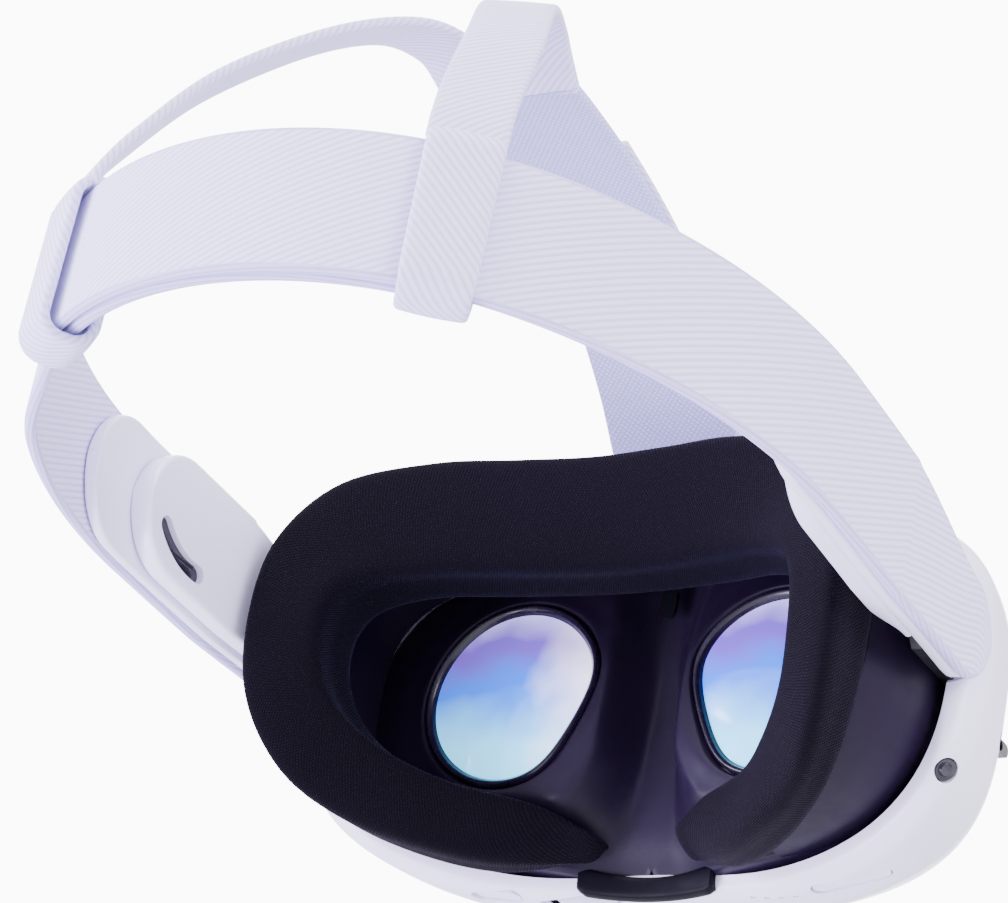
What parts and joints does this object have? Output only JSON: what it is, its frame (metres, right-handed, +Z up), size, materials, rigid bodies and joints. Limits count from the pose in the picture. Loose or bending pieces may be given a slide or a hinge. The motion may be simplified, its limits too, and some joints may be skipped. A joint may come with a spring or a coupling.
{
  "type": "vr headset",
  "caption": "Head-worn stereo display visor with a padded face interface, side audio arms and a fabric head strap with a split top strap.",
  "frame": {"origin": "middle of the bounding box in X and Y, at its lowest height in Z, which is the lowest point of the lens-spacing wheel under the visor", "axes": "+X towards the wearer's left, +Y towards the back of the head, +Z up"},
  "size_m": [0.1828, 0.2502, 0.1522],
  "materials": {
    "shell": "satin",
    "arm_shell": "smooth satin",
    "dark_trim": "soft matte",
    "black_trim": "gloss",
    "grey_wall": "soft matte",
    "knit": "napped knit",
    "strap": "ribbed twill",
    "soft_strip": "matte",
    "lens": "coated",
    "window": "tinted gloss",
    "bare_metal": "brushed",
    "cooling_metal": "plain",
    "board": "solder mask",
    "cell": "foil"
  },
  "bodies": {
    "visor": {"front_shell": "shell", "front_window_left": "window", "front_window_centre": "window", "front_window_right": "window", "front_camera_left": "black_trim", "front_camera_right": "black_trim", "depth_projector": "black_trim", "tracking_camera_left": "black_trim", "tracking_camera_right": "black_trim", "charging_socket": "bare_metal", "audio_socket": "black_trim", "nose_trim": "soft_strip", "mid_frame": "dark_trim", "main_board": "board", "battery": "cell", "heat_sink": "cooling_metal", "fan_housing": "black_trim", "guide_rod_upper": "bare_metal", "guide_rod_lower": "bare_metal", "face_shroud": "grey_wall", "proximity_window": "window", "arm_bracket_left": "bare_metal", "arm_bracket_right": "bare_metal", "arm_pin_left": "bare_metal", "arm_pin_right": "bare_metal", "strap_anchor": "bare_metal"},
    "lens_carriage_left": {"lens_left": "lens", "lens_ring_left": "black_trim", "lens_barrel_left": "black_trim", "display_left": "window", "rack_left": "bare_metal"},
    "lens_carriage_right": {"lens_right": "lens", "lens_ring_right": "black_trim", "lens_barrel_right": "black_trim", "display_right": "window", "rack_right": "bare_metal"},
    "wheel": {"spacing_wheel": "dark_trim"},
    "interface": {"face_frame": "grey_wall", "face_pad": "knit"},
    "depth_key_left": {"depth_button_left": "dark_trim"},
    "depth_key_right": {"depth_button_right": "dark_trim"},
    "rocker": {"volume_rocker": "shell"},
    "power_key": {"power_button": "shell"},
    "fan": {"fan_rotor": "black_trim"},
    "headband": {"arm_left": "arm_shell", "arm_right": "arm_shell", "arm_cover_left": "arm_shell", "arm_cover_right": "arm_shell", "speaker_left": "black_trim", "speaker_right": "black_trim", "side_strap_left": "strap", "side_strap_right": "strap", "top_strap": "strap", "top_strap_tab": "strap"},
    "branch_left": {"slider_left": "strap", "top_branch_left": "strap"},
    "branch_right": {"slider_right": "strap", "top_branch_right": "strap"}
  },
  "joints": [
    {"name": "headband_tilt", "type": "hinge", "parent": "visor", "child": "headband", "pos_m": [0, -0.05089, 0.0487], "axis": [1, 0, 0], "range_deg": [-8, 8]},
    {"name": "branch_left_swing", "type": "hinge", "parent": "headband", "child": "branch_left", "pos_m": [0, 0.04311, 0.0457], "axis": [0, 0, 1], "range_deg": [-4, 4]},
    {"name": "branch_right_swing", "type": "hinge", "parent": "headband", "child": "branch_right", "pos_m": [0, 0.04311, 0.0457], "axis": [0, 0, 1], "range_deg": [-4, 4]},
    {"name": "spacing_wheel_turn", "type": "hinge", "parent": "visor", "child": "wheel", "pos_m": [0.019, -0.08969, 0.0109], "axis": [0, 1, 0], "range_deg": [-109.4, 8.9]},
    {"name": "lens_left_slide", "type": "slide", "parent": "visor", "child": "lens_carriage_left", "axis": [1, 0, 0], "range_m": [-0.0062, 0.0005]},
    {"name": "lens_right_slide", "type": "slide", "parent": "visor", "child": "lens_carriage_right", "axis": [1, 0, 0], "range_m": [-0.0005, 0.0062]},
    {"name": "interface_slide", "type": "slide", "parent": "visor", "child": "interface", "axis": [0, 1, 0], "range_m": [0, 0.008]},
    {"name": "depth_key_left_press", "type": "slide", "parent": "interface", "child": "depth_key_left", "axis": [1, 0, 0], "range_m": [0, 0.001], "stiffness_N_per_m": 400},
    {"name": "depth_key_right_press", "type": "slide", "parent": "interface", "child": "depth_key_right", "axis": [-1, 0, 0], "range_m": [0, 0.001], "stiffness_N_per_m": 400},
    {"name": "volume_rocker_tilt", "type": "hinge", "parent": "visor", "child": "rocker", "pos_m": [-0.052, -0.08489, 0.00649], "axis": [0, 1, 0], "range_deg": [-2.5, 2.5], "stiffness_Nm_per_rad": 0.3},
    {"name": "power_key_press", "type": "slide", "parent": "visor", "child": "power_key", "axis": [0, 0, 1], "range_m": [0, 0.0008], "stiffness_N_per_m": 400},
    {"name": "fan_spin", "type": "hinge", "parent": "visor", "child": "fan", "pos_m": [0.03, -0.10789, 0.0457], "axis": [0, 1, 0], "range_deg": [-180, 180]}
  ],
  "couplings": [
    {"joint": "spacing_wheel_turn", "follows": "lens_left_slide", "rad_per_m": 307.69},
    {"joint": "lens_right_slide", "follows": "lens_left_slide", "ratio": -1}
  ]
}
